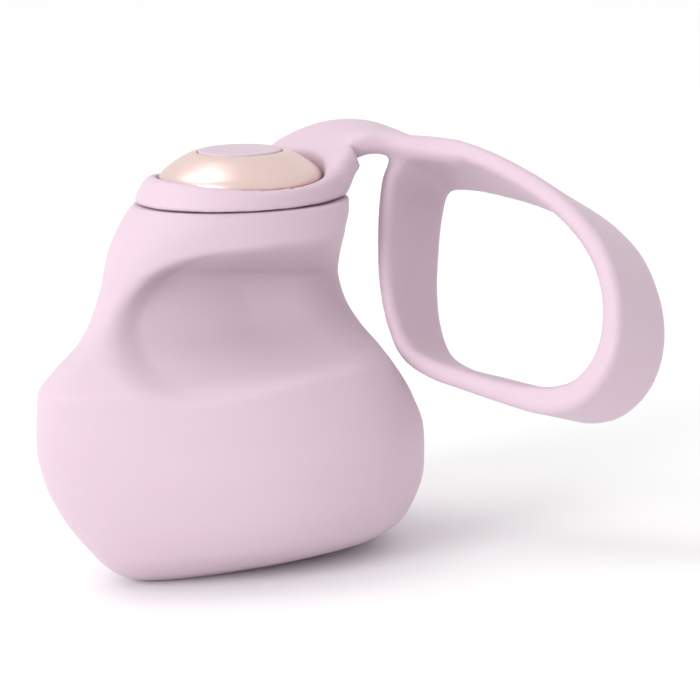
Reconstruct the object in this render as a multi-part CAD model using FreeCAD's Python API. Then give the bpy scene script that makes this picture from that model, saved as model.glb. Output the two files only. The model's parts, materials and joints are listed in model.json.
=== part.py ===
import FreeCAD, Part
import math
import os

from FreeCAD import Vector as V

os.makedirs("parts", exist_ok=True)

# Finger-held vibrating massager.  Millimetres, +Z up.
# Origin: on the flat base, under the centre of the push button.
# The pointed nose faces -Y, the finger scoops face +X and -X, the tether leaves at the rear (+Y).

# ---------------------------------------------------------------- driving dimensions
NECK_Z = 36.0            # height of the neck's top face on the button axis
TOP_TILT = 4.8           # degrees, the neck's top face and the button lean to the rear
CENTRE_Y = 1.5           # the widest section of the body lies this far behind the axis
NOSE_POWER = 2.1         # plan curve of the nose half
REAR_POWER = 2.4         # plan curve of the rear half

# outer form of the silicone body: height, half width, nose reach, rear reach, nose pinch
BODY_FORM = (
    (0.0, 6.00, 14.60, 7.00, 0.30),
    (0.5, 7.50, 16.40, 9.30, 0.32),
    (1.5, 10.45, 18.15, 11.50, 0.34),
    (4.0, 14.50, 20.30, 12.95, 0.36),
    (8.0, 16.35, 22.85, 14.65, 0.38),
    (12.0, 16.90, 24.35, 14.85, 0.40),
    (15.0, 16.25, 24.80, 14.10, 0.42),
    (19.0, 15.40, 24.40, 11.90, 0.43),
    (20.6, 15.00, 24.10, 10.80, 0.43),
    (22.2, 13.30, 22.70, 10.35, 0.48),
    (25.0, 11.10, 19.10, 9.80, 0.46),
    (29.0, 10.45, 16.50, 9.55, 0.38),
    (32.6, 9.80, 14.80, 9.65, 0.26),
    (34.5, 9.65, 13.10, 10.35, 0.14),
    (36.0, 9.50, 11.30, 10.60, 0.05),
)
SCOOP_TOP = 32.6         # crease over the finger scoop
SCOOP_LIP = 19.6         # lip under the finger scoop, at the nose
SCOOP_LIP_RISE = 1.1     # the lip is this much higher from the middle to the rear
SCOOP_DEPTH = 0.50       # share of the half width taken away at the scoop's floor, rear half
SCOOP_DEEPER = 0.11      # added to that share toward the nose
SCOOP_STEEP = 1.5        # how much steeper the floor stands toward the nose
SCOOP_END = -19.0        # where the scoop ends toward the nose
SCOOP_RAMP = 5.0         # length of the end wall
SIGHT_Y = -6.5           # the outline is laid out by angle about this point on the centre plane
SCOOP_FLOOR = 28.8       # height of the scoop's floor at the axis
SCOOP_RISE = 0.165       # the floor line rises toward the nose by this slope

BEZEL_R = 8.1            # rim radius of the dome bezel
BEZEL_TOP = 40.85        # crown of the dome bezel
# the dome from its straight rim to its crown: radius, height
DOME_LINE = (
    (8.10, 37.9), (8.10, 38.2), (7.98, 38.6), (7.62, 39.05), (6.90, 39.62), (6.00, 40.2),
    (5.30, 40.58), (4.75, 40.8),
)
BUTTON_R = 4.15
BUTTON_HOLE_R = 4.25
NECK_BORE_R = 7.2
NECK_BORE_Z = 33.2

COLLAR_HOLE_R = 8.35     # clears the bezel, so the tether lifts off
# the collar's outline at four heights: nose reach, rear reach, half width, height
COLLAR_FORM = (
    (10.9, 10.7, 9.45, 36.15),
    (10.5, 10.7, 9.50, 37.0),
    (9.6, 10.3, 9.20, 38.2),
    (8.9, 9.9, 8.80, 39.3),
)
COLLAR_TOP_Z = 38.1      # the collar's top is hollowed along a wide arc
COLLAR_TOP_R = 51.0

LOOP_W = 8.4             # width of the finger loop's band
LOOP_T = 2.0             # thickness of the band
LOOP_AXIS_YAW = 65.0     # degrees from +X toward -Y, direction a finger passes through
LOOP_TILT = 22.0         # degrees, the loop's near rim is higher
LOOP_CENTRE = V(18.73, 20.46, 25.09)
# centre line of the loop's band in its own plane, counter-clockwise from the left wall
LOOP_LINE = (
    (-14.1, 3.5), (-13.5, 0.0), (-12.4, -3.6), (-10.5, -6.6), (-7.6, -8.3),
    (-3.5, -9.2), (1.0, -10.1), (4.6, -10.7), (7.2, -10.7), (9.7, -9.8),
    (11.6, -7.9), (12.6, -5.4), (12.6, -2.4), (11.6, 0.8), (9.5, 4.2),
    (6.3, 7.1), (2.6, 9.3), (-1.2, 10.9), (-5.0, 12.0), (-9.0, 12.7),
    (-12.5, 12.5), (-14.2, 10.8), (-14.4, 7.4),
)
HINGE = (-15.6, 14.3, 1.0)   # flexing line of the strap in the loop's frame: right, up, toward nose
KNUCKLE_R = 1.25
KNUCKLE_GAP = 0.30

SKIN_GAP = 0.05          # silicone to the moulded core
CORE_WALL = 1.0
CORE_FLOOR_Z = 3.6
CORE_SPLIT_Z = 12.6
CORE_ROOF_Z = 19.0
STEM_X = 3.0             # half width of the stem inside the neck
STEM_Y = 6.8             # half length of the stem
STEM_WALL = 0.7
STEM_TOP_Z = 33.6
MOTOR_Z = 8.5
MOTOR_R = 3.5
BATTERY_Z = 13.3
JACK_Z = 15.6            # axis of the charging socket
JACK_R = 1.25
JACK_STOP_Y = 4.8        # a plug goes in as far as this
JACK_FACE_Y = 8.5
BOARD_Y = 5.4            # half length of the main board
BOARD_Z0, BOARD_Z1 = 20.4, 32.4

PARTS = {}


# ---------------------------------------------------------------- small helpers
def keep(name, shape):
    PARTS[name] = shape
    shape.exportStep("parts/" + name + ".step")


def curve_value(x, rows, column):
    """Monotone cubic through the rows of a table."""
    xs = [r[0] for r in rows]
    ys = [r[column] for r in rows]
    n = len(xs)
    h = [xs[i + 1] - xs[i] for i in range(n - 1)]
    d = [(ys[i + 1] - ys[i]) / h[i] for i in range(n - 1)]
    m = [d[0]] + [0.0] * (n - 2) + [d[-1]]
    for i in range(1, n - 1):
        if d[i - 1] * d[i] > 0:
            w1 = 2 * h[i] + h[i - 1]
            w2 = h[i] + 2 * h[i - 1]
            m[i] = (w1 + w2) / (w1 / d[i - 1] + w2 / d[i])
    x = min(max(x, xs[0]), xs[-1])
    i = 0
    while i < n - 2 and x > xs[i + 1]:
        i += 1
    t = (x - xs[i]) / h[i]
    a = (2 * t ** 3 - 3 * t ** 2 + 1) * ys[i] + (t ** 3 - 2 * t ** 2 + t) * h[i] * m[i]
    b = (-2 * t ** 3 + 3 * t ** 2) * ys[i + 1] + (t ** 3 - t ** 2) * h[i] * m[i + 1]
    return a + b


def soft_min(a, b, k):
    h = min(max(0.5 + 0.5 * (b - a) / k, 0.0), 1.0)
    return b * (1 - h) + a * h - k * h * (1 - h)


def smooth_step(t):
    t = clamp(t, 0.0, 1.0)
    return t * t * (3 - 2 * t)


def clamp(x, lo, hi):
    return min(max(x, lo), hi)


def tilt(shape):
    """From the upright construction frame to the leaning neck frame."""
    out = shape.copy()
    out.rotate(V(0, 0, NECK_Z), V(1, 0, 0), -TOP_TILT)
    return out


def tilt_point(p):
    rot = FreeCAD.Rotation(V(1, 0, 0), -TOP_TILT)
    return rot.multVec(p - V(0, 0, NECK_Z)) + V(0, 0, NECK_Z)


def disc(r, z0, z1, x=0.0, y=0.0):
    return Part.makeCylinder(r, z1 - z0, V(x, y, z0))


def block(x0, x1, y0, y1, z0, z1, r=0.0):
    b = Part.makeBox(x1 - x0, y1 - y0, z1 - z0, V(x0, y0, z0))
    if r > 0:
        upright = [e for e in b.Edges if abs(e.Vertexes[0].Z - e.Vertexes[1].Z) > 1e-6]
        b = b.makeFillet(r, upright)
    return b


def revolve(points):
    wire = Part.makePolygon([V(r, 0, z) for r, z in points + [points[0]]])
    return Part.Face(wire).revolve(V(0, 0, 0), V(0, 0, 1), 360)


def oval(a_front, a_rear, b, z, n=36):
    pts = []
    for i in range(n):
        t = 2 * math.pi * i / n
        a = a_rear if math.cos(t) > 0 else a_front
        pts.append(V(b * math.sin(t), a * math.cos(t), z))
    c = Part.BSplineCurve()
    c.interpolate(pts, True)
    return Part.Wire(c.toShape())


def lead(points, r, bend):
    """Round wire along straight runs joined by tangent arcs."""
    pieces = []
    start = points[0]
    for i in range(1, len(points) - 1):
        p = points[i]
        d0 = (p - points[i - 1]).normalize()
        d1 = (points[i + 1] - p).normalize()
        ang = math.acos(clamp(d0.dot(d1), -1.0, 1.0))
        cut = bend * math.tan(ang / 2)
        a = p - d0 * cut
        b = p + d1 * cut
        axis = (d1 - d0).normalize()
        reach = bend / math.cos(ang / 2) - bend
        pieces.append(Part.LineSegment(start, a).toShape())
        pieces.append(Part.Arc(a, p + axis * reach, b).toShape())
        start = b
    pieces.append(Part.LineSegment(start, points[-1]).toShape())
    path = Part.Wire(pieces)
    d = (points[1] - points[0]).normalize()
    section = Part.Wire(Part.Circle(points[0], d, r).toShape())
    return path.makePipeShell([section], True, True)


# ---------------------------------------------------------------- silicone body
def outer_half_width(y, z):
    bx = curve_value(z, BODY_FORM, 1)
    front = curve_value(z, BODY_FORM, 2)
    rear = curve_value(z, BODY_FORM, 3)
    pinch = curve_value(z, BODY_FORM, 4)
    if y < CENTRE_Y:
        q = (CENTRE_Y - y) / (front + CENTRE_Y)
        w = max(1 - q ** NOSE_POWER, 0.0) ** 0.5 * (1 - pinch * q * q)
    else:
        q = (y - CENTRE_Y) / (rear - CENTRE_Y)
        w = max(1 - q ** REAR_POWER, 0.0) ** 0.5
    return bx * w if q < 1 else -(q - 1) * 20


def half_width(y, z):
    floor_z = clamp(SCOOP_FLOOR - SCOOP_RISE * y, 26.6, 31.2)
    up = (SCOOP_TOP - z) / (SCOOP_TOP - floor_z)
    lip_z = SCOOP_LIP + SCOOP_LIP_RISE * smooth_step((y + 13.0) / 12.0)
    low = (z - lip_z) / (floor_z - lip_z)
    front = smooth_step((4.0 - y) / 8.0)
    low = 1 - (1 - clamp(low, -0.3, 1.0)) ** (1 + SCOOP_STEEP * (0.5 + 0.5 * front)) + max(low - 1, 0.0)
    share = -soft_min(-soft_min(up, low, 0.12 + 0.18 * front), 0.0, 0.18)
    wall = SCOOP_END + 0.115 * max(z - 24.5, 0.0) ** 2 + 0.16 * max(23.0 - z, 0.0) ** 2
    depth = (SCOOP_DEPTH + SCOOP_DEEPER * front) * smooth_step((y - wall) / SCOOP_RAMP)
    return outer_half_width(y, z) * (1 - depth * share)


def body_point(turn, z):
    """Point of the skin at an angle from the rear, turning toward +X."""
    lo, hi = 0.0, 40.0
    eye = SIGHT_Y * (1 - smooth_step((z - 32.5) / (NECK_Z - 32.5)))
    for _ in range(34):
        m = (lo + hi) / 2
        if half_width(eye + m * math.cos(turn), z) > abs(m * math.sin(turn)):
            lo = m
        else:
            hi = m
    x, y = lo * math.sin(turn), eye + lo * math.cos(turn)
    lean = math.tan(math.radians(TOP_TILT)) * y * clamp((z - 30) / (NECK_Z - 30), 0, 1)
    return V(x, y, z - lean)


def smooth_surface(rows):
    """Cubic surface drawn by its net of poles, so it never overshoots."""
    nu, nv = len(rows), len(rows[0])
    surface = Part.BSplineSurface()
    surface.buildFromPolesMultsKnots(
        rows, [4] + [1] * (nu - 4) + [4], [4] + [1] * (nv - 4) + [4],
        [float(i) for i in range(nu - 2)], [float(i) for i in range(nv - 2)], False, False, 3, 3)
    return surface


def body_solid():
    levels = [0.0, 0.25, 0.7, 1.5, 2.6, 4.0, 6.0, 8.0, 10.0, 12.0, 14.0, 16.0, 17.6, 18.8, 19.6]
    levels += [20.1, 20.6, 21.2, 22.2, 23.4, 24.6, 25.8, 27.0, 28.0, 28.8, 29.6, 30.4, 31.2]
    levels += [31.8, 32.3, 32.8, 33.4, 34.2, 35.1, 36.0]
    turns = [math.pi * i / 36 for i in range(37)]
    rows = []
    for z in levels:
        row = [body_point(t, z) for t in turns]
        row[0] = V(0, row[0].y, row[0].z)
        row[-1] = V(0, row[-1].y, row[-1].z)
        rows.append(row)
    surface = smooth_surface(rows)
    side = surface.toShape()
    other = side.mirror(V(0, 0, 0), V(1, 0, 0))
    caps = []
    for flat in (lambda p: abs(p.z) < 1e-6, lambda p: p.z > 34.0):
        edges = [e for f in (side, other) for e in f.Edges
                 if flat(e.valueAt(e.FirstParameter)) and flat(e.valueAt(e.LastParameter))]
        caps.append(Part.Face(Part.Wire(Part.__sortEdges__(edges))))
    shell = Part.makeShell([side, other] + caps)
    shell.sewShape()
    solid = Part.Solid(Part.Shell(shell.Faces)) if shell.ShapeType != "Shell" else Part.Solid(shell)
    if solid.Volume < 0:
        solid.reverse()
    return solid


# ---------------------------------------------------------------- moulded core
def core_plan(grow, z0, z1):
    pts = [(-4.0, -15.5), (4.0, -15.5), (10.2, -4.0), (10.2, 6.0), (7.0, 9.6), (-7.0, 9.6),
           (-10.2, 6.0), (-10.2, -4.0)]
    wire = Part.makePolygon([V(x, y, z0) for x, y in pts + [pts[0]]])
    face = Part.Face(wire)
    if grow:
        face = face.makeOffset2D(grow, 2)
        face = Part.Face(face) if face.ShapeType == "Wire" else face
    return face.extrude(V(0, 0, z1 - z0))


def stem(grow, z0, z1):
    x, y = STEM_X + grow, STEM_Y + grow
    return block(-x, x, -y, y, z0, z1, 1.6 + grow)


SCREW_XY = ((-7.6, 5.2), (7.6, 5.2), (-6.3, -7.6), (6.3, -7.6))

core_space = core_plan(SKIN_GAP, CORE_FLOOR_Z - SKIN_GAP, CORE_ROOF_Z + SKIN_GAP)
core_space = core_space.fuse(stem(SKIN_GAP, CORE_ROOF_Z - 1, STEM_TOP_Z + SKIN_GAP))
jack_path = Part.makeCylinder(JACK_R, 8.0, V(0, 8.0, JACK_Z), V(0, 1, 0))
neck_bore = tilt(disc(NECK_BORE_R, NECK_BORE_Z, 45.0))
silicone_body = body_solid().cut(core_space).cut(neck_bore).cut(jack_path)
keep("silicone_body", silicone_body)

core_base = core_plan(0, CORE_FLOOR_Z, CORE_SPLIT_Z)
core_base = core_base.cut(core_plan(-CORE_WALL, CORE_FLOOR_Z + CORE_WALL, CORE_SPLIT_Z + 1))
for x, y in SCREW_XY:
    core_base = core_base.fuse(disc(1.5, CORE_FLOOR_Z + 0.4, CORE_SPLIT_Z, x, y))
for y0, y1 in ((-3.6, -2.4), (3.4, 4.6)):
    saddle = block(-4.6, 4.6, y0, y1, CORE_FLOOR_Z + 0.4, MOTOR_Z)
    core_base = core_base.fuse(saddle)
core_base = core_base.cut(Part.makeCylinder(MOTOR_R + 0.35, 12.0, V(0, -5.0, MOTOR_Z), V(0, 1, 0)))
for x, y in SCREW_XY:
    core_base = core_base.cut(disc(0.75, 0, 20, x, y))
    core_base = core_base.cut(disc(1.35, 0, CORE_FLOOR_Z + 1.0, x, y))
core_top = core_plan(0, CORE_SPLIT_Z, CORE_ROOF_Z)
core_top = core_top.cut(core_plan(-CORE_WALL, CORE_SPLIT_Z - 1, CORE_ROOF_Z - CORE_WALL))
core_top = core_top.fuse(stem(0, CORE_ROOF_Z - CORE_WALL, STEM_TOP_Z))
stem_room = STEM_X - STEM_WALL
core_top = core_top.cut(block(-stem_room, stem_room, -6.0, 6.0, CORE_SPLIT_Z + 1, STEM_TOP_Z + 1, 1.2))
for x, y in SCREW_XY:
    core_top = core_top.fuse(disc(1.5, CORE_SPLIT_Z, CORE_ROOF_Z - 0.5, x, y))
    core_top = core_top.cut(disc(0.55, 0, CORE_SPLIT_Z + 4.0, x, y))
core_top = core_top.cut(Part.makeCylinder(1.8, 3.0, V(0, 8.0, JACK_Z), V(0, 1, 0)))
for x in (-1.0, 0.45):
    for y in (-6.2, 4.7):
        core_top = core_top.fuse(block(x, x + 0.55, y, y + 1.6, BOARD_Z0, BOARD_Z1))
keep("core_top", core_top)

core_gasket = core_plan(-0.25, CORE_SPLIT_Z - 0.35, CORE_SPLIT_Z)
core_gasket = core_gasket.cut(core_plan(-0.75, CORE_SPLIT_Z - 1, CORE_SPLIT_Z + 1))
core_base = core_base.cut(core_plan(-0.22, CORE_SPLIT_Z - 0.38, CORE_SPLIT_Z + 1).cut(
    core_plan(-0.78, CORE_SPLIT_Z - 1, CORE_SPLIT_Z + 2)))
keep("core_base", core_base)
keep("core_gasket", core_gasket)

screws = []
for x, y in SCREW_XY:
    head = disc(1.25, CORE_FLOOR_Z + 0.1, CORE_FLOOR_Z + 0.95, x, y)
    head = head.cut(block(x - 0.15, x + 0.15, y - 0.8, y + 0.8, CORE_FLOOR_Z, CORE_FLOOR_Z + 0.45))
    shank = disc(0.5, CORE_FLOOR_Z + 0.9, CORE_SPLIT_Z + 3.6, x, y)
    screws.append(head.fuse(shank))
keep("core_screws", Part.makeCompound(screws))

# ---------------------------------------------------------------- motor
motor_can = Part.makeCylinder(MOTOR_R, 9.6, V(0, -4.6, MOTOR_Z), V(0, 1, 0))
motor_can = motor_can.fuse(Part.makeCylinder(1.1, 0.6, V(0, -5.2, MOTOR_Z), V(0, 1, 0)))
motor_can = motor_can.cut(Part.makeCylinder(3.1, 9.2, V(0, -4.1, MOTOR_Z), V(0, 1, 0)))
motor_can = motor_can.cut(Part.makeCylinder(0.55, 3.0, V(0, -6.0, MOTOR_Z), V(0, 1, 0)))
keep("motor_can", motor_can)

end_cap = Part.makeCylinder(3.08, 1.2, V(0, 4.1, MOTOR_Z), V(0, 1, 0))
end_cap = end_cap.fuse(Part.makeCylinder(1.2, 0.6, V(0, 5.3, MOTOR_Z), V(0, 1, 0)))
end_cap = end_cap.cut(Part.makeCylinder(0.55, 1.0, V(0, 4.0, MOTOR_Z), V(0, 1, 0)))
keep("motor_end_cap", end_cap)

armature = Part.makeCylinder(2.6, 6.6, V(0, -3.2, MOTOR_Z), V(0, 1, 0))
motor_shaft = Part.makeCylinder(0.5, 14.4, V(0, -9.6, MOTOR_Z), V(0, 1, 0))
keep("motor_shaft", motor_shaft.fuse(armature))

weight = Part.makeCylinder(3.0, 3.8, V(0, -9.4, MOTOR_Z), V(0, 1, 0))
weight = weight.cut(block(-4, 4, -10, -5, MOTOR_Z + 0.9, MOTOR_Z + 5))
weight = weight.cut(Part.makeCylinder(0.5, 6.0, V(0, -10.0, MOTOR_Z), V(0, 1, 0)))
keep("eccentric_weight", weight)

clamp_strap = block(-5.4, 5.4, -1.6, 2.6, CORE_FLOOR_Z + CORE_WALL + 0.02, BATTERY_Z - 0.02)
clamp_strap = clamp_strap.cut(Part.makeCylinder(MOTOR_R + 0.02, 6.0, V(0, -2.4, MOTOR_Z), V(0, 1, 0)))
clamp_strap = clamp_strap.cut(block(-3.52, 3.52, -3, 4, 0, MOTOR_Z))
keep("motor_clamp", clamp_strap)

# ---------------------------------------------------------------- battery and charging socket
keep("battery_cell", block(-4.6, 4.6, -11.6, 2.0, BATTERY_Z, BATTERY_Z + 4.2, 0.9))
keep("battery_foam", block(-4.2, 4.2, -11.0, -7.2, BATTERY_Z + 4.22, CORE_ROOF_Z - CORE_WALL - 0.02))

jack = block(-2.4, 2.4, 4.0, JACK_FACE_Y, JACK_Z - 2.2, JACK_Z + 2.0)
jack = jack.fuse(Part.makeCylinder(1.7, 1.1, V(0, JACK_FACE_Y, JACK_Z), V(0, 1, 0)))
jack = jack.cut(Part.makeCylinder(JACK_R, 4.9, V(0, JACK_STOP_Y, JACK_Z), V(0, 1, 0)))
jack = jack.cut(Part.makeCylinder(0.92, 1.0, V(0, JACK_STOP_Y - 0.4, JACK_Z), V(0, 1, 0)))
keep("charge_jack", jack)
contact = Part.makeCylinder(0.9, 0.38, V(0, JACK_STOP_Y - 0.38, JACK_Z), V(0, 1, 0))
keep("charge_contact", contact)

# ---------------------------------------------------------------- boards
main_board = block(-0.4, 0.4, -BOARD_Y, BOARD_Y, BOARD_Z0, BOARD_Z1)
keep("main_board", main_board)
keep("control_chip", block(0.42, 1.42, -3.4, 0.6, 24.0, 28.0))
keep("charger_chip", block(0.42, 1.22, 1.6, 4.4, 25.0, 27.8))
small = []
for k in range(4):
    small.append(block(-1.0, -0.42, -4.4 + 2.2 * k, -3.4 + 2.2 * k, 29.0, 29.6))
    small.append(block(-1.0, -0.42, -4.4 + 2.2 * k, -3.8 + 2.2 * k, 26.0, 27.0))
keep("board_passives", Part.makeCompound(small))
keep("board_coil", Part.makeCylinder(1.3, 1.5, V(-0.42, -2.0, 23.2), V(-1, 0, 0)))

switch_board = tilt(disc(6.2, 35.0, 35.8).cut(block(-0.5, 0.5, 4.0, 8.0, 34, 37)))
keep("switch_board", switch_board)
header = tilt(block(-0.3, 0.3, -3.0, 1.5, 32.60, 34.95))
keep("board_header", header)
switch_case = block(-2.6, 2.6, -2.6, 2.6, 35.82, 37.3).cut(disc(1.25, 36.5, 38.0))
keep("switch_case", tilt(switch_case))
keep("switch_plunger", tilt(disc(1.15, 36.9, 37.98)))
leds = []
for x in (-4.4, 4.4):
    leds.append(tilt(block(x - 0.4, x + 0.4, -0.8, 0.8, 35.82, 36.4)))
keep("status_leds", Part.makeCompound(leds))

# ---------------------------------------------------------------- bezel and button
seat = revolve([(6.25, 34.3), (7.0, 34.3), (7.0, 36.0), (6.35, 36.0), (6.35, 34.95), (6.25, 34.95)])
seat = seat.fuse(revolve([(5.4, 34.3), (6.4, 34.3), (6.4, 34.95), (5.4, 34.95)]))
keep("bezel_seat", tilt(seat))

dome_points = [V(r, 0, z) for r, z in DOME_LINE]
dome_line = Part.BSplineCurve()
dome_line.interpolate(dome_points)
rim = [(BUTTON_HOLE_R, BEZEL_TOP - 0.12), (BUTTON_HOLE_R, 39.9), (5.6, 39.7), (6.4, 37.6), (6.4, 36.05)]
rim += [(BEZEL_R, 36.05)]
rim_line = Part.makePolygon([dome_points[-1]] + [V(r, 0, z) for r, z in rim] + [dome_points[0]])
bezel = Part.Face(Part.Wire([dome_line.toShape()] + rim_line.Edges))
bezel = bezel.revolve(V(0, 0, 0), V(0, 0, 1), 360)
keep("bezel_ring", tilt(bezel))

cap = disc(BUTTON_R, 39.2, BEZEL_TOP + 0.15).fuse(disc(5.2, 38.9, 39.6))
cap_edges = [e for e in cap.Edges if abs(e.BoundBox.ZMax - BEZEL_TOP - 0.15) < 1e-6]
cap = cap.makeFillet(0.12, cap_edges)
keep("button_cap", tilt(cap))
pusher = disc(1.6, 38.0, 38.88).fuse(disc(3.4, 38.55, 38.88))
keep("button_pusher", tilt(pusher))

gasket = revolve([(5.3, 38.5), (6.0, 38.5), (5.72, 39.3), (5.3, 39.3)])
keep("button_gasket", tilt(gasket))


# ---------------------------------------------------------------- tether: frame of the finger loop
yaw = math.radians(LOOP_AXIS_YAW)
lean = math.radians(LOOP_TILT)
THROUGH = V(math.cos(yaw) * math.cos(lean), -math.sin(yaw) * math.cos(lean), math.sin(lean))
RIGHT = V(math.sin(yaw), math.cos(yaw), 0)
UP = RIGHT.cross(THROUGH).normalize()
if UP.z < 0:
    UP = UP * -1


def loop_point(a, b, w=0.0):
    return LOOP_CENTRE + RIGHT * a + UP * b + THROUGH * w


def band_section(centre, along, wide, thick, width, r=0.45):
    """Rounded rectangle: wide direction and thickness, facing along."""
    wide = wide.normalize()
    deep = along.cross(wide).normalize()
    hw, ht = width / 2, thick / 2
    pts = []
    for sx, sy in ((-1, -1), (1, -1), (1, 1), (-1, 1)):
        c = centre + wide * (sx * (hw - r)) + deep * (sy * (ht - r))
        for k in range(3):
            base = {(-1, -1): 180, (1, -1): 270, (1, 1): 0, (-1, 1): 90}[(sx, sy)]
            a = math.radians(base + 45 * k)
            pts.append(c + wide * (r * math.cos(a)) + deep * (r * math.sin(a)))
    return Part.makePolygon(pts + [pts[0]])


def loop_curve(offset):
    """Closed curve beside the loop's centre line, outward positive."""
    n = len(LOOP_LINE)
    pts = []
    for i in range(n):
        x0, y0 = LOOP_LINE[i - 1]
        x1, y1 = LOOP_LINE[(i + 1) % n]
        size = math.hypot(x1 - x0, y1 - y0)
        nx, ny = (y1 - y0) / size, -(x1 - x0) / size
        pts.append(loop_point(LOOP_LINE[i][0] + nx * offset, LOOP_LINE[i][1] + ny * offset,
                              -LOOP_W / 2))
    curve = Part.BSplineCurve()
    curve.interpolate(pts, True)
    return Part.Face(Part.Wire(curve.toShape()))


def loop_band():
    ring = loop_curve(LOOP_T / 2).cut(loop_curve(-LOOP_T / 2))
    return ring.Faces[0].extrude(THROUGH * LOOP_W)


hinge_point = loop_point(*HINGE)
strap_dir = (loop_point(-8.0, 12.9, 0.3) - hinge_point).normalize()

# strap stub on the loop's side
stub = Part.makeLoft([
    band_section(hinge_point, strap_dir, THROUGH, 2.0, 8.6),
    band_section(loop_point(-12.2, 13.5, 0.6), strap_dir, THROUGH, 2.0, 8.5),
    band_section(loop_point(-8.0, 12.95, 0.1), strap_dir, THROUGH, 1.9, 8.3),
], True, True)
loop = loop_band().fuse(stub)
knuckle_room = Part.makeCylinder(KNUCKLE_R + KNUCKLE_GAP, 20, hinge_point - THROUGH * 10, THROUGH)
loop = loop.cut(knuckle_room)
keep("finger_loop", loop)

# collar with the arm
collar = Part.makeLoft([tilt(oval(*row)) for row in COLLAR_FORM], True)
saddle = Part.makeCylinder(COLLAR_TOP_R, 60, V(-30, 0, COLLAR_TOP_Z + COLLAR_TOP_R), V(1, 0, 0))
collar = collar.cut(tilt(saddle))
arm = Part.makeLoft([
    band_section(V(-0.4, 8.4, 37.45), V(0, 1, 0.1), V(1, 0, 0), 2.3, 13.2),
    band_section(V(-0.8, 10.4, 38.5), V(0, 1, 0.5), V(1, 0, 0), 2.5, 12.6),
    band_section(V(-1.0, 12.6, 39.4), V(0.2, 1, 0.25), V(0.98, -0.2, -0.03), 2.4, 11.0),
    band_section(V(0.4, 15.2, 39.5), V(0.55, 0.85, -0.05), V(0.84, -0.54, 0.06), 2.4, 9.8),
    band_section(hinge_point - strap_dir * 1.0, strap_dir, V(0.55, -0.8, 0.3), 2.0, 9.0),
    band_section(hinge_point, strap_dir, THROUGH, 2.0, 8.6),
], True, False)
knuckle = Part.makeCylinder(KNUCKLE_R, 8.6, hinge_point - THROUGH * 4.3, THROUGH)
collar = collar.fuse(arm)
collar = collar.cut(tilt(disc(COLLAR_HOLE_R, 30, 60)))
collar = collar.fuse(knuckle)
keep("tether_collar", collar)

# ---------------------------------------------------------------- leads inside the core
LEAD_R = 0.3
LEADS = (
    ("motor_lead", (1.6, 5.32, 8.5), (1.6, 6.5, 8.5), (2.7, 6.5, 8.5), (2.7, 6.5, 12.6),
     (2.7, 3.2, 12.6), (2.7, 3.2, 13.8), (1.9, 3.2, 15.2), (1.9, 3.2, 22.6), (0.45, 3.2, 22.6)),
    ("battery_lead", (1.2, 2.02, 15.4), (1.2, 2.6, 15.4), (1.2, 2.6, 21.6), (0.45, 2.6, 21.6)),
    ("jack_lead", (0.75, 3.98, 16.6), (0.75, 3.25, 16.6), (0.75, 3.25, 21.0)),
)
for name, *route in LEADS:
    for side, colour in ((1, "red"), (-1, "black")):
        keep(name + "_" + colour, lead([V(side * x, y, z) for x, y, z in route], LEAD_R, 0.5))

for name, shape in PARTS.items():
    ok = shape.isValid() and all(s.isClosed() for s in shape.Shells)
    box = shape.BoundBox
    print("%-20s solids %d valid %s vol %.2f  x %.2f..%.2f y %.2f..%.2f z %.2f..%.2f" % (
        name, len(shape.Solids), ok, shape.Volume, box.XMin, box.XMax, box.YMin, box.YMax,
        box.ZMin, box.ZMax))
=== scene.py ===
import json
import math

import bmesh
import bpy
import numpy as np
from mathutils import Matrix, Vector


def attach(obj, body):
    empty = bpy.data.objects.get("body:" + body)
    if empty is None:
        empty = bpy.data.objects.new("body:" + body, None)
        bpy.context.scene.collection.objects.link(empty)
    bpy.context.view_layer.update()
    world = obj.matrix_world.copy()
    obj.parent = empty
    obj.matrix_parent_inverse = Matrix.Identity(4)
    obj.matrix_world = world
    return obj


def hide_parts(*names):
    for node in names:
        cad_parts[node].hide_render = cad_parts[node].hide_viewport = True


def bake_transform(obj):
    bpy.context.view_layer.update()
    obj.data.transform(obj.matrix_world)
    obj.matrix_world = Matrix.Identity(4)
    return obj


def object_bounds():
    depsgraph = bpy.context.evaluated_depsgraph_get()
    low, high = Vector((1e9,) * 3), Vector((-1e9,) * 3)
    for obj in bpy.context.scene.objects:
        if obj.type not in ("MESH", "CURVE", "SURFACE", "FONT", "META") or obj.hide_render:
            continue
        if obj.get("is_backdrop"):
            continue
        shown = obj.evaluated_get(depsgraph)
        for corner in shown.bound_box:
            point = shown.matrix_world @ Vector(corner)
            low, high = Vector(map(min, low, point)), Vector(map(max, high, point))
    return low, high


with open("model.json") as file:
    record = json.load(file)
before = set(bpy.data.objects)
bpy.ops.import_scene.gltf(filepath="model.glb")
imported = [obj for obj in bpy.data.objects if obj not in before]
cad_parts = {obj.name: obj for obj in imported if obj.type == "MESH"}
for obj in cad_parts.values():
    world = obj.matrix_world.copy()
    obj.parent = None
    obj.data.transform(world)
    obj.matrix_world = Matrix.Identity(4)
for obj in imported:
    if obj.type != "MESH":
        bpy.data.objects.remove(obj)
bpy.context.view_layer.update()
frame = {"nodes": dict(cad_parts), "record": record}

MM = 0.001

# ------------------------------------------------------------------ form of the silicone body (mm)
NECK_Z = 36.0            # neck's top face on the button axis
TOP_TILT = 4.8           # degrees, the top leans to the rear
CENTRE_Y = 1.5
NOSE_POWER = 2.1         # how square the plan is toward the nose, and toward the rear
REAR_POWER = 2.4
OUTSIDE_SLOPE = 20       # fall of the half width past the ends of the plan
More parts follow.
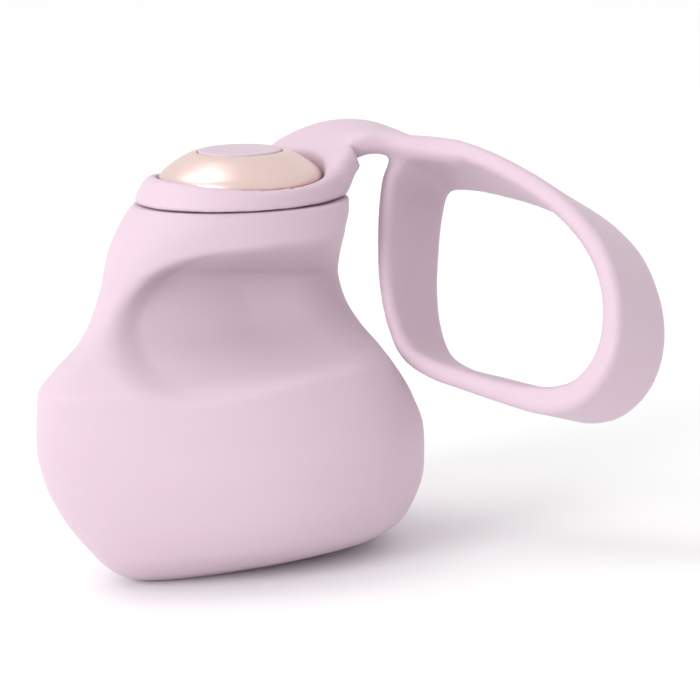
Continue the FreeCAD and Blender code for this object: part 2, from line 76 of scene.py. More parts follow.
# height, half width, nose reach, rear reach, nose pinch
BODY_FORM = np.array((
    (0.0, 6.00, 14.60, 7.00, 0.30),
    (0.5, 7.50, 16.40, 9.30, 0.32),
    (1.5, 10.45, 18.15, 11.50, 0.34),
    (4.0, 14.50, 20.30, 12.95, 0.36),
    (8.0, 16.35, 22.85, 14.65, 0.38),
    (12.0, 16.90, 24.35, 14.85, 0.40),
    (15.0, 16.25, 24.80, 14.10, 0.42),
    (19.0, 15.40, 24.40, 11.90, 0.43),
    (20.6, 15.00, 24.10, 10.80, 0.43),
    (22.2, 13.30, 22.70, 10.35, 0.48),
    (25.0, 11.10, 19.10, 9.80, 0.46),
    (29.0, 10.45, 16.50, 9.55, 0.38),
    (32.6, 9.80, 14.80, 9.65, 0.26),
    (34.5, 9.65, 13.10, 10.35, 0.14),
    (36.0, 9.50, 11.30, 10.60, 0.05)))
# finger scoops: heights of the upper edge and the lower lip, depths as shares of the half width
SCOOP_TOP = 32.6
SCOOP_LIP = 19.6
SCOOP_LIP_RISE = 1.1     # the lip is this much higher at the rear
LIP_START_Y = -13.0
LIP_RUN = 12.0
SCOOP_DEPTH = 0.50
SCOOP_DEEPER = 0.11      # added toward the nose
SCOOP_STEEP = 1.5
DEEPER_FROM_Y = 4.0
DEEPER_RUN = 8.0
SCOOP_END = -19.0        # y where the scoop starts at the nose, and how it curves back above and below
SCOOP_RAMP = 5.0
END_UPPER_Z = 24.5
END_UPPER_CURVE = 0.115
END_LOWER_Z = 23.0
END_LOWER_CURVE = 0.16
SCOOP_FLOOR = 28.8       # height of the deepest line at y = 0, and its slope
SCOOP_RISE = 0.165
FLOOR_LIMITS = (26.6, 31.2)
EDGE_BLEND = 0.12
EDGE_BLEND_FRONT = 0.18  # added toward the nose
FLOOR_BLEND = 0.18
SIGHT_Y = -6.5           # the skin's points are seen from here, and from the axis at the neck
SIGHT_FADE_Z = 32.5
LEAN_FROM_Z = 30
RAY_REACH = 40.0
HALVINGS = 34
BORE_R = 7.2
BORE_FLOOR = 33.2
BORE_EDGE = 0.15         # chamfer at the bore's mouth
NECK_EDGE = 0.2          # round edge of the neck's top face

# room for the core inside the silicone, and the charging socket's hole
CORE_PLAN = ((-4.03, -15.56), (4.03, -15.56), (10.25, -4.01), (10.25, 6.02), (7.02, 9.65), (-7.02, 9.65),
             (-10.25, 6.02), (-10.25, -4.01))
CORE_ROOM = (3.55, 19.05)
STEM_CORNER = (1.4, 5.2)
STEM_CORNER_R = 1.65
STEM_ROOM = (18.5, 33.65)
SOCKET_Z = 15.6
SOCKET_PROFILE = ((0, 6.0), (1.25, 6.0), (1.25, 13.9), (1.32, 14.15), (1.75, 15.0), (1.75, 17), (0, 17))

BEZEL_R = 8.1
BEZEL_BORE_R = 4.25
BEZEL_BASE = 36.06
BEZEL_TOP = 40.85
BUTTON_R = 4.15
BUTTON_PROUD = 0.15
COLLAR_HOLE_R = 8.35

LOOP_W = 8.4
LOOP_YAW = math.radians(65.0)
LOOP_LEAN = math.radians(22.0)
LOOP_CENTRE = np.array((18.73, 20.46, 25.09))
THROUGH = np.array((math.cos(LOOP_YAW) * math.cos(LOOP_LEAN), -math.sin(LOOP_YAW) * math.cos(LOOP_LEAN),
                    math.sin(LOOP_LEAN)))
RIGHT = np.array((math.sin(LOOP_YAW), math.cos(LOOP_YAW), 0.0))
UP = -np.cross(RIGHT, THROUGH)
UP = UP if UP[2] > 0 else -UP
# centre line of the loop's band in its own plane: right, up, thickness, twist (degrees)
LOOP_LINE = np.array((
    (-14.3, 3.5, 1.6, 9), (-13.75, 0.0, 1.6, 6), (-12.6, -3.6, 1.6, 3), (-10.65, -6.7, 1.7, 1),
    (-7.6, -8.3, 1.9, 0), (-3.5, -9.15, 2.0, 2), (1.0, -10.0, 2.2, 3), (4.6, -10.55, 2.6, 2),
    (7.2, -10.6, 2.8, 0), (9.7, -9.8, 2.8, -2), (11.6, -7.9, 2.7, -4), (12.6, -5.4, 2.6, -4),
    (12.65, -2.4, 2.4, -4), (11.75, 0.8, 2.2, -2), (9.7, 4.2, 2.1, 0), (6.4, 7.1, 2.0, 3),
    (2.6, 9.25, 2.0, 7), (-1.2, 10.75, 2.0, 11), (-5.0, 11.85, 2.0, 16), (-9.0, 12.6, 2.0, 19),
    (-12.5, 12.4, 1.9, 18), (-14.3, 10.7, 1.8, 14), (-14.6, 7.4, 1.7, 11)))


def smooth_step(t):
    t = np.clip(t, 0, 1)
    return t * t * (3 - 2 * t)


def curve_value(z, column):
    """Monotone cubic through the rows of BODY_FORM."""
    xs, ys = BODY_FORM[:, 0], BODY_FORM[:, column]
    h = np.diff(xs)
    d = np.diff(ys) / h
    m = np.concatenate(([d[0]], np.zeros(len(xs) - 2), [d[-1]]))
    for i in range(1, len(xs) - 1):
        if d[i - 1] * d[i] > 0:
            w1, w2 = 2 * h[i] + h[i - 1], h[i] + 2 * h[i - 1]
            m[i] = (w1 + w2) / (w1 / d[i - 1] + w2 / d[i])
    x = np.clip(z, xs[0], xs[-1])
    i = np.clip(np.searchsorted(xs, x) - 1, 0, len(xs) - 2)
    t = (x - xs[i]) / h[i]
    a = (2 * t ** 3 - 3 * t ** 2 + 1) * ys[i] + (t ** 3 - 2 * t ** 2 + t) * h[i] * m[i]
    return a + (3 * t ** 2 - 2 * t ** 3) * ys[i + 1] + (t ** 3 - t ** 2) * h[i] * m[i + 1]


def soft_min(a, b, k):
    """Smaller of a and b, rounded over a blend k wide."""
    h = np.clip(0.5 + 0.5 * (b - a) / k, 0, 1)
    return b * (1 - h) + a * h - k * h * (1 - h)


def soft_max(a, b, k):
    return -soft_min(-a, -b, k)


def outer_half_width(y, z):
    width, front, rear, pinch = (curve_value(z, c) for c in (1, 2, 3, 4))
    q = np.where(y < CENTRE_Y, (CENTRE_Y - y) / (front + CENTRE_Y), (y - CENTRE_Y) / (rear - CENTRE_Y))
    nose = np.sqrt(np.maximum(1 - q ** NOSE_POWER, 0)) * (1 - pinch * q * q)
    back = np.sqrt(np.maximum(1 - q ** REAR_POWER, 0))
    return np.where(q < 1, width * np.where(y < CENTRE_Y, nose, back), -(q - 1) * OUTSIDE_SLOPE)


def half_width(y, z):
    """Half width less the scoop: its share grows from the upper edge and the lip to the floor line."""
    floor_z = np.clip(SCOOP_FLOOR - SCOOP_RISE * y, *FLOOR_LIMITS)
    up = (SCOOP_TOP - z) / (SCOOP_TOP - floor_z)
    lip_z = SCOOP_LIP + SCOOP_LIP_RISE * smooth_step((y - LIP_START_Y) / LIP_RUN)
    low = (z - lip_z) / (floor_z - lip_z)
    front = smooth_step((DEEPER_FROM_Y - y) / DEEPER_RUN)
    steep = 1 + SCOOP_STEEP * (0.5 + 0.5 * front)
    low = 1 - (1 - np.clip(low, -0.3, 1)) ** steep + np.maximum(low - 1, 0)
    share = -soft_min(-soft_min(up, low, EDGE_BLEND + EDGE_BLEND_FRONT * front), 0.0, FLOOR_BLEND)
    above, below = np.maximum(z - END_UPPER_Z, 0), np.maximum(END_LOWER_Z - z, 0)
    wall = SCOOP_END + END_UPPER_CURVE * above ** 2 + END_LOWER_CURVE * below ** 2
    depth = (SCOOP_DEPTH + SCOOP_DEEPER * front) * smooth_step((y - wall) / SCOOP_RAMP)
    return outer_half_width(y, z) * (1 - depth * share)


def body_points(turn, z):
    """Points of the skin at angles from the rear, turning toward +X, seen from a point inside the nose."""
    low, high = np.zeros_like(turn), np.full_like(turn, RAY_REACH)
    s, c = np.sin(turn), np.cos(turn)
    eye = SIGHT_Y * (1 - smooth_step((z - SIGHT_FADE_Z) / (NECK_Z - SIGHT_FADE_Z)))
    for _ in range(HALVINGS):
        m = (low + high) / 2
        inside = half_width(eye + m * c, z) > np.abs(m * s)
        low, high = np.where(inside, m, low), np.where(inside, high, m)
    x, y = low * s, eye + low * c
    lean = math.tan(math.radians(TOP_TILT)) * y * np.clip((z - LEAN_FROM_Z) / (NECK_Z - LEAN_FROM_Z), 0, 1)
    return np.stack((x, y, z - lean), -1)


def tilt(p):
    """From the upright frame of the button to the leaning one, mm."""
    p = np.asarray(p, float)
    a = math.radians(-TOP_TILT)
    y, z = p[..., 1], p[..., 2] - NECK_Z
    return np.stack((p[..., 0], y * math.cos(a) - z * math.sin(a),
                     y * math.sin(a) + z * math.cos(a) + NECK_Z), -1)


def untilt(p):
    """Back from the leaning frame to the upright one, mm."""
    a = math.radians(TOP_TILT)
    y, z = p[..., 1], p[..., 2] - NECK_Z
    return np.stack((p[..., 0], y * math.cos(a) - z * math.sin(a),
                     y * math.sin(a) + z * math.cos(a) + NECK_Z), -1)


# ------------------------------------------------------------------ mesh helpers
def new_piece(name, points, faces):
    """Smooth-shaded object from points in millimetres."""
    mesh = bpy.data.meshes.new(name)
    corners = [tuple(p) for p in np.asarray(points) * MM]
    mesh.from_pydata(corners, [], [tuple(int(i) for i in f) for f in faces])
    mesh.validate()
    for p in mesh.polygons:
        p.use_smooth = True
    obj = bpy.data.objects.new(name, mesh)
    bpy.context.scene.collection.objects.link(obj)
    return obj


def tube_faces(rings, n):
    """Quads between rings of n points each."""
    out = []
    for j in range(rings - 1):
        for i in range(n):
            a, b = j * n + i, j * n + (i + 1) % n
            out.append((a, b, b + n, a + n))
    return out


def cap_faces(low, high, last, n):
    """Fans from two single points to the first ring and to the ring that starts at last."""
    faces = [(low, (i + 1) % n, i) for i in range(n)]
    return faces + [(high, last + i, last + (i + 1) % n) for i in range(n)]


def lathe(name, profile, place, n, sharp):
    """Turned solid: profile runs from the axis to the axis, or is a closed loop clear of it."""
    closed = profile[0][0] > 1e-6
    rows = [p for p in profile if p[0] > 1e-6]
    angle = np.arange(n) * 2 * math.pi / n
    points = [np.stack((r * np.cos(angle), r * np.sin(angle), np.full(n, z)), -1) for r, z in rows]
    points = list(np.concatenate(points))
    faces = tube_faces(len(rows), n)
    if closed:
        last = (len(rows) - 1) * n
        faces += [(last + i, last + (i + 1) % n, (i + 1) % n, i) for i in range(n)]
    else:
        points += [np.array((0, 0, profile[0][1])), np.array((0, 0, profile[-1][1]))]
        faces += cap_faces(len(points) - 2, len(points) - 1, (len(rows) - 1) * n, n)
    obj = new_piece(name, place(np.array(points)), faces)
    outward(obj.data)
    if sharp:
        obj.data.set_sharp_from_angle(angle=math.radians(sharp))
    return obj


def outward(mesh):
    """Turns all faces to the outside."""
    bm = bmesh.new()
    bm.from_mesh(mesh)
    bmesh.ops.recalc_face_normals(bm, faces=bm.faces)
    if bm.calc_volume(signed=True) < 0:
        bmesh.ops.reverse_faces(bm, faces=bm.faces)
    bm.to_mesh(mesh)
    bm.free()


def prism(points, z0, z1):
    """Upright cutter between two heights."""
    n = len(points)
    p = [(x, y, z0) for x, y in points] + [(x, y, z1) for x, y in points]
    faces = [(i, (i + 1) % n, n + (i + 1) % n, n + i) for i in range(n)]
    return new_piece("cutter", p, faces + [tuple(range(n))[::-1], tuple(range(n, 2 * n))])


def cut(obj, cutters):
    """Takes the cutters out of obj and deletes them."""
    for cutter in cutters:
        outward(cutter.data)
        m = obj.modifiers.new("cut", "BOOLEAN")
        m.operation, m.solver, m.object = "DIFFERENCE", "EXACT", cutter
        bpy.context.view_layer.update()
        data = bpy.data.meshes.new_from_object(obj.evaluated_get(bpy.context.evaluated_depsgraph_get()))
        obj.modifiers.clear()
        obj.data = data
        bpy.data.objects.remove(cutter)


# ------------------------------------------------------------------ silicone body
def lie_to_rear(p):
    """Lays an upright turned shape down along +Y at the height of the socket."""
    return np.stack((p[:, 0], p[:, 2], SOCKET_Z + p[:, 1]), -1)


def make_body():
    """Rings of the skin from the base up, over the neck's edge and down the bore, less the core's room."""
    n = 320
    turn = np.arange(n) * 2 * math.pi / n
    levels = np.concatenate((np.linspace(0, 1, 9)[:-1] ** 1.5, np.linspace(1, 5, 14)[:-1],
                             np.linspace(5, 18.5, 34)[:-1], np.linspace(18.5, 24, 36)[:-1],
                             np.linspace(24, 29, 26)[:-1], np.linspace(29, 33.3, 56)[:-1],
                             np.linspace(33.3, NECK_Z - NECK_EDGE, 14)))
    grid_turn, grid_z = np.meshgrid(turn, levels)
    rows = list(body_points(grid_turn, grid_z))
    top = body_points(turn, np.full(n, NECK_Z))
    edge_r = np.hypot(top[:, 0], top[:, 1])
    for k in range(1, 5):
        a = k / 4 * math.pi / 2
        inset = NECK_EDGE * (1 - math.cos(a))
        row = top * ((edge_r - inset) / edge_r)[:, None]
        row[:, 2] = top[:, 2] - NECK_EDGE * (1 - math.sin(a))
        rows.append(row)
    circle = np.stack((np.sin(turn), np.cos(turn), np.zeros(n)), -1)
    inner_top = tilt(circle * (BORE_R + BORE_EDGE) + np.array((0, 0, NECK_Z)))
    for t in (0.35, 0.7, 1.0):
        rows.append(rows[-1] * (1 - t) + inner_top * t if t < 1 else inner_top)
    rows.append(tilt(circle * BORE_R + np.array((0, 0, NECK_Z - BORE_EDGE))))
    for z in (35.2, 34.4, BORE_FLOOR):
        rows.append(tilt(circle * BORE_R + np.array((0, 0, z))))
    for t in (0.7, 0.35):
        rows.append(tilt(circle * BORE_R * t + np.array((0, 0, BORE_FLOOR))))
    base = rows[0].copy()
    centre = np.array((0.0, (base[:, 1].max() + base[:, 1].min()) / 2, 0.0))
    inner = [centre + (base - centre) * t for t in (0.25, 0.5, 0.75, 0.92)]
    rows = inner + rows
    points = np.concatenate(rows + [[centre], [tilt((0, 0, BORE_FLOOR))]])
    faces = tube_faces(len(rows), n)
    faces += cap_faces(len(points) - 2, len(points) - 1, (len(rows) - 1) * n, n)
    body = new_piece("body_skin", points, faces)
    outward(body.data)
    stem = []
    for sx, sy, start in ((1, 1, 0), (-1, 1, 90), (-1, -1, 180), (1, -1, 270)):
        cx, cy = STEM_CORNER[0] * sx, STEM_CORNER[1] * sy
        stem += [(cx + STEM_CORNER_R * math.cos(math.radians(start + 15 * k)),
                  cy + STEM_CORNER_R * math.sin(math.radians(start + 15 * k))) for k in range(7)]
    hole = lathe("cutter", SOCKET_PROFILE, lie_to_rear, 48, 0)
    cut(body, (prism(CORE_PLAN, *CORE_ROOM), prism(stem, *STEM_ROOM), hole))
    for p in body.data.polygons:
        p.use_smooth = True
    body.data.set_sharp_from_angle(angle=math.radians(38))
    return body


# ------------------------------------------------------------------ tether, skin round a distance field (mm)
def closed_spline(points, per):
    """Catmull-Rom through the rows of a closed table."""
    out = []
    n = len(points)
    for i in range(n):
        a, b, c, d = (points[(i + k) % n] for k in (-1, 0, 1, 2))
        for t in np.arange(per) / per:
            out.append(0.5 * (2 * b + (c - a) * t + (2 * a - 5 * b + 4 * c - d) * t ** 2
                              + (3 * b - a - 3 * c + d) * t ** 3))
    return np.array(out)


def open_spline(points, per):
    """Catmull-Rom through the rows of an open table."""
    points = np.concatenate(([2 * points[0] - points[1]], points, [2 * points[-1] - points[-2]]))
    out = []
    for i in range(1, len(points) - 2):
        a, b, c, d = (points[i + k] for k in (-1, 0, 1, 2))
        for t in np.arange(per) / per:
            out.append(0.5 * (2 * b + (c - a) * t + (2 * a - 5 * b + 4 * c - d) * t ** 2
                              + (3 * b - a - 3 * c + d) * t ** 3))
    return np.array(out + [points[-2]])


def band(centre, wide, thick, width, closed):
    """Stations of a flat band: centre, tangent, wide and deep directions, half sizes and the spacing of the
    stations.
    """
    if closed:
        tangent = np.roll(centre, -1, 0) - np.roll(centre, 1, 0)
        step = np.linalg.norm(tangent, axis=1) / 2
    else:
        tangent = np.gradient(centre, axis=0)
        step = np.linalg.norm(tangent, axis=1)
    tangent = tangent / np.linalg.norm(tangent, axis=1)[:, None]
    wide = wide - (wide * tangent).sum(1)[:, None] * tangent
    wide = wide / np.linalg.norm(wide, axis=1)[:, None]
    deep = np.cross(tangent, wide)
    return dict(c=centre, t=tangent, w=wide, d=deep, ht=thick / 2, hw=width / 2, step=step, closed=closed)


BATCH = 20000            # points measured at a time, to save memory


def band_distance(p, s, r):
    """Distance from a band of rounded section, edge radius r."""
    out = np.empty(len(p))
    n = len(s["c"])
    for first in range(0, len(p), BATCH):
        q = p[first:first + BATCH]
        near = ((q[:, None, :] - s["c"][None]) ** 2).sum(2).argmin(1)
        d = q - s["c"][near]
        along = (d * s["t"][near]).sum(1)
        limit = s["step"][near] * 0.6
        inner = np.clip(along, -limit, limit)
        step = np.where(along > 0, 1, -1)
        other = (near + step) % n if s["closed"] else np.clip(near + step, 0, n - 1)
        f = (np.abs(inner) / s["step"][near])[:, None]
        wide = s["w"][near] * (1 - f) + s["w"][other] * f
        deep = s["d"][near] * (1 - f) + s["d"][other] * f
        half_w = s["hw"][near] * (1 - f[:, 0]) + s["hw"][other] * f[:, 0]
        half_t = s["ht"][near] * (1 - f[:, 0]) + s["ht"][other] * f[:, 0]
        d = d - s["t"][near] * inner[:, None]
        u = np.abs((d * wide).sum(1)) - half_w + r
        v = np.abs((d * deep).sum(1)) - half_t + r
        end = np.zeros(len(q))
        if not s["closed"]:
            ends = (near == 0) | (near == n - 1)
            end = np.where(ends, np.maximum(np.abs(along) - limit, 0), 0)
        outside = np.sqrt(np.maximum(u, 0) ** 2 + np.maximum(v, 0) ** 2 + end ** 2)
        out[first:first + BATCH] = outside + np.minimum(np.maximum(u, v), 0) - r
    return out


def loop_place(a, b, w=0.0):
    """Point at a right, b up and w toward the nose in the loop's frame, mm."""
    a, b, w = (np.asarray(k, float)[..., None] for k in (a, b, w))
    return LOOP_CENTRE + a * RIGHT + b * UP + w * THROUGH


def ring_band():
    """The finger loop's band, on edge round the opening."""
    line = closed_spline(LOOP_LINE, 10)
    centre = loop_place(line[:, 0], line[:, 1])
    tangent = np.roll(line[:, :2], -1, 0) - np.roll(line[:, :2], 1, 0)
    tangent = tangent / np.linalg.norm(tangent, axis=1)[:, None]
    out = RIGHT * tangent[:, 1:2] - UP * tangent[:, 0:1]
    twist = np.radians(line[:, 3])[:, None]
    wide = THROUGH * np.cos(twist) + out * np.sin(twist)
    return band(centre, wide, line[:, 2], np.full(len(line), LOOP_W), True)


# arm from the collar to the loop: centre, wide direction, thickness, width
ARM = np.array((
    (-0.8, 8.0, 37.5, 1.0, 0.00, -0.05, 2.4, 13.2),
    (-1.3, 10.0, 38.65, 1.0, -0.05, -0.10, 2.5, 12.6),
    (-1.3, 12.4, 39.5, 0.97, -0.20, -0.08, 2.3, 10.8),
    (0.1, 15.0, 39.65, 0.86, -0.50, 0.02, 2.4, 9.7),
    (2.1, 17.2, 38.85, 0.60, -0.74, 0.25, 2.35, 9.0),
    (5.1, 19.0, 37.85, 0.42, -0.83, 0.42, 2.1, 8.5),
    (8.6, 20.7, 37.0, 0.36, -0.81, 0.46, 1.4, 7.4)))


def arm_band():
    line = open_spline(ARM, 12)
    return band(line[:, :3], line[:, 3:6], line[:, 6], line[:, 7], False)


# ovals of the collar: height, reach to the nose, reach to the rear, half width
COLLAR_OVALS = np.array(((36.15, 10.9, 10.7, 9.45), (37.0, 10.5, 10.7, 9.5), (38.2, 9.6, 10.3, 9.2),
                         (39.3, 8.9, 9.9, 8.8)))
COLLAR_BASE = 36.15
COLLAR_CREST = 38.1
CREST_CURVE = 102.0      # the crest rises toward nose and rear by y squared over this
ARM_EDGE_R = 1.05
RING_EDGE_R = 0.79
ARM_BLEND = 2.2
RING_BLEND = 1.3
HOLE_BLEND = 0.3
ring, arm = ring_band(), arm_band()


def collar_distance(p):
    q = untilt(p)
    x, y, z = q.T
    front, rear, half = (np.interp(z, COLLAR_OVALS[:, 0], COLLAR_OVALS[:, k]) for k in (1, 2, 3))
    reach = np.where(y > 0, rear, front)
    r = np.sqrt((x / half) ** 2 + (y / reach) ** 2)
    wall = (r - 1) * np.minimum(half, reach)
    top = z - (COLLAR_CREST + y * y / CREST_CURVE)
    base = COLLAR_BASE - z
    return soft_max(soft_max(wall, top, 0.9), base, 0.35)


def tether_distance(p):
    q = untilt(p)
    hole = COLLAR_HOLE_R - np.hypot(q[:, 0], q[:, 1])
    d = soft_min(collar_distance(p), band_distance(p, arm, ARM_EDGE_R), ARM_BLEND)
    d = soft_min(d, band_distance(p, ring, RING_EDGE_R), RING_BLEND)
    return soft_max(d, hole, HOLE_BLEND)


def skin(distance, low, high, step):
    """Surface-net mesh of the zero level, then drawn onto it. Far from it a coarse grid is enough."""
    coarse, reach = 4, 2.2
    counts = [len(np.arange(a, b + step, step)) for a, b in zip(low, high)]
    shape = [((count + coarse - 1) // coarse) * coarse + 1 for count in counts]
    axes = [a + np.arange(n) * step for a, n in zip(low, shape)]
    fine = np.stack(np.meshgrid(*axes, indexing="ij"), -1)
    rough_shape = [(n - 1) // coarse + 1 for n in shape]
    values = distance(fine[::coarse, ::coarse, ::coarse].reshape(-1, 3)).reshape(rough_shape)
    for axis in range(3):
        values = np.repeat(values, coarse, axis)
        values = np.take(values, range(values.shape[axis] - coarse + 1), axis)
    near = np.abs(values) < step * coarse * reach
    values[near] = distance(fine[near])
    inside = values < 0
    cells = [n - 1 for n in shape]
    total, count = np.zeros(cells + [3]), np.zeros(cells)
    for axis in range(3):
        others = [k for k in range(3) if k != axis]
        for i in (0, 1):
            for j in (0, 1):
                cut_a, cut_b = [slice(None)] * 3, [slice(None)] * 3
                cut_a[axis], cut_b[axis] = slice(0, -1), slice(1, None)
                for k, o in zip((i, j), others):
                    cut_a[o] = cut_b[o] = slice(k, cells[o] + k)
                a, b = values[tuple(cut_a)], values[tuple(cut_b)]
                cross = (a < 0) != (b < 0)
                t = np.where(cross, a / np.where(cross, a - b, 1), 0)
                at = np.zeros(cells + [3])
                at[..., axis] = t
                at[..., others[0]], at[..., others[1]] = i, j
                total += at * cross[..., None]
                count += cross
    full = count > 0
    index = np.full(cells, -1)
    index[full] = np.arange(full.sum())
    where = np.argwhere(full)
    points = (where + total[full] / count[full][:, None]) * step + np.array(low)
    faces = []
    for axis in range(3):
        o1, o2 = (axis + 1) % 3, (axis + 2) % 3
        head, tail = [slice(None)] * 3, [slice(None)] * 3
        head[axis], tail[axis] = slice(0, -1), slice(1, None)
        change = inside[tuple(head)] != inside[tuple(tail)]
        for e in np.argwhere(change):
            corners = []
            for d1, d2 in ((0, 0), (1, 0), (1, 1), (0, 1)):
                c = e.copy()
                c[o1] -= d1
                c[o2] -= d2
                corners.append(index[tuple(c)])
            if not inside[tuple(e)]:
                corners.reverse()
            faces.append(corners[::-1])
    probe = 0.02
    for _ in range(3):
        d = distance(points)
        slope = np.stack([(distance(points + probe * np.eye(3)[k]) - d) / probe for k in range(3)], -1)
        size = np.maximum((slope ** 2).sum(1), 0.05)
        points = points - slope * (np.clip(d, -step, step) / size)[:, None]
    return points, faces


def relax(mesh, rounds, share):
    """Evens out the mesh along its own surface."""
    bm = bmesh.new()
    bm.from_mesh(mesh)
    for _ in range(rounds):
        bmesh.ops.smooth_vert(bm, verts=bm.verts, factor=share,
                              use_axis_x=True, use_axis_y=True, use_axis_z=True)
    bm.to_mesh(mesh)
    bm.free()


def make_tether():
    """Skin of the collar, arm and loop, inside a box that holds them all."""
    low, high = (-10.6, -12.8, 9.5), (34.4, 31.2, 43.0)
    points, faces = skin(tether_distance, low, high, 0.3)
    obj = new_piece("tether_skin", points, faces)
    relax(obj.data, 3, 0.5)
    outward(obj.data)
    return obj


# ------------------------------------------------------------------ bezel and button
def round_corner(before, at, after, r, steps=5):
    """Points of a fillet at a profile's corner."""
    at, a, b = (np.array(k, float) for k in (at, before, after))
    da, db = (a - at) / np.linalg.norm(a - at), (b - at) / np.linalg.norm(b - at)
    out = []
    for k in range(steps + 1):
        t = k / steps
        out.append(tuple(at + da * r * (1 - t) ** 2 + db * r * t ** 2))
    return out


# outer line of the dome: radius, height
DOME_LINE = np.array(((8.1, 37.9), (8.1, 38.2), (7.98, 38.6), (7.62, 39.05), (6.9, 39.62), (6.0, 40.2),
                      (5.3, 40.58), (4.75, 40.8)))


def make_bezel():
    """Dome with its bore, as a closed profile."""
    outer = [tuple(p) for p in open_spline(DOME_LINE, 6)]
    profile = [(6.4, BEZEL_BASE), (7.6, BEZEL_BASE)]
    profile += round_corner((7.6, BEZEL_BASE), (BEZEL_R, BEZEL_BASE), (BEZEL_R, 37), 0.12)
    profile += [(BEZEL_R, 37.3)] + outer
    profile += round_corner((4.75, 40.8), (4.27, 40.88), (BEZEL_BORE_R, 40), 0.14)
    profile += [(BEZEL_BORE_R, 40.3), (BEZEL_BORE_R, 39.9), (5.6, 39.7), (6.4, 37.6)]
    return lathe("bezel_dome", profile, tilt, 160, 40)


def make_button():
    """Cap with a flange below and a slightly dished top."""
    top = BEZEL_TOP + BUTTON_PROUD
    profile = [(0, 38.9), (5.2, 38.9), (5.2, 39.6), (4.35, 39.6), (4.15, 39.75)]
    profile += round_corner((BUTTON_R, 40), (BUTTON_R, top), (3, top), 0.22)
    dish = ((3.4, 0.015), (2.6, 0.05), (1.6, 0.09), (0.8, 0.105), (0, 0.11))
    profile += [(r, top - depth) for r, depth in dish]
    return lathe("button_top", profile, tilt, 128, 40)


body = make_body()
tether = make_tether()
bezel = make_bezel()
button = make_button()


# ------------------------------------------------------------------ materials
def srgb(r, g, b):
    """Linear colour of 0 to 255 display values."""
    def one(c):
        c = c / 255
        return c / 12.92 if c <= 0.04045 else ((c + 0.055) / 1.055) ** 2.4
    return one(r), one(g), one(b), 1.0


MIX_COLOUR_A, MIX_COLOUR_B = 6, 7    # colour sockets of a Mix node; its colour result is output 2
MIX_COLOUR = 2
PAINTED_SHADE_REACH = 0.018                 # metres, how far the ambient occlusion that paints shade into hollows looks
GRAIN_HEIGHT = 0.0001


def material(name, colour, rough, metallic=0.0, vary=0.04, scale=400.0, bump=0.05, bump_scale=3000.0,
             stretch=(1, 1, 1), rough_vary=0.08, painted_shade=0.0, sockets=()):
    """Procedural finish: mottled colour, varied roughness, fine bump and, when asked, painted shade: base
    colour darkened in hollows by ambient occlusion.
    """
    m = bpy.data.materials.new(name)
    m.use_nodes = True
    nt = m.node_tree
    p = nt.nodes["Principled BSDF"]
    coords = nt.nodes.new("ShaderNodeTexCoord")
    place = nt.nodes.new("ShaderNodeMapping")
    place.inputs["Scale"].default_value = stretch
    nt.links.new(coords.outputs["Object"], place.inputs["Vector"])
    mottle = nt.nodes.new("ShaderNodeTexNoise")
    mottle.inputs["Scale"].default_value = scale
    mottle.inputs["Detail"].default_value = 3
    nt.links.new(place.outputs["Vector"], mottle.inputs["Vector"])
    ramp = nt.nodes.new("ShaderNodeMix")
    ramp.data_type = "RGBA"
    dark = [c * (1 - vary) for c in colour[:3]] + [1]
    light = [min(c * (1 + vary), 1) for c in colour[:3]] + [1]
    ramp.inputs[MIX_COLOUR_A].default_value, ramp.inputs[MIX_COLOUR_B].default_value = dark, light
    nt.links.new(mottle.outputs["Fac"], ramp.inputs[0])
    # painted shade: ambient occlusion darkens the base colour in creases and hollows, by up to the given
    # share
    if painted_shade:
        shade = nt.nodes.new("ShaderNodeAmbientOcclusion")
        shade.samples = 8
        shade.only_local = True
        shade.inputs["Distance"].default_value = PAINTED_SHADE_REACH
        painted_shade_mix = nt.nodes.new("ShaderNodeMix")
        painted_shade_mix.data_type = "RGBA"
        painted_shade_mix.inputs[MIX_COLOUR_A].default_value = [c * (1 - painted_shade) for c in colour[:3]] + [1]
        nt.links.new(shade.outputs["AO"], painted_shade_mix.inputs[0])
        nt.links.new(ramp.outputs[MIX_COLOUR], painted_shade_mix.inputs[MIX_COLOUR_B])
        nt.links.new(painted_shade_mix.outputs[MIX_COLOUR], p.inputs["Base Color"])
    else:
        nt.links.new(ramp.outputs[MIX_COLOUR], p.inputs["Base Color"])
    shine = nt.nodes.new("ShaderNodeMapRange")
    shine.inputs["To Min"].default_value = max(rough - rough_vary, 0.02)
    shine.inputs["To Max"].default_value = min(rough + rough_vary, 1)
    nt.links.new(mottle.outputs["Fac"], shine.inputs["Value"])
    nt.links.new(shine.outputs["Result"], p.inputs["Roughness"])
    grain = nt.nodes.new("ShaderNodeTexNoise")
    grain.inputs["Scale"].default_value = bump_scale
    grain.inputs["Detail"].default_value = 2
    nt.links.new(place.outputs["Vector"], grain.inputs["Vector"])
    relief = nt.nodes.new("ShaderNodeBump")
    relief.inputs["Strength"].default_value = bump
    relief.inputs["Distance"].default_value = GRAIN_HEIGHT
    nt.links.new(grain.outputs["Fac"], relief.inputs["Height"])
    nt.links.new(relief.outputs["Normal"], p.inputs["Normal"])
    p.inputs["Metallic"].default_value = metallic
    for key, value in sockets:
        p.inputs[key].default_value = value
    return m
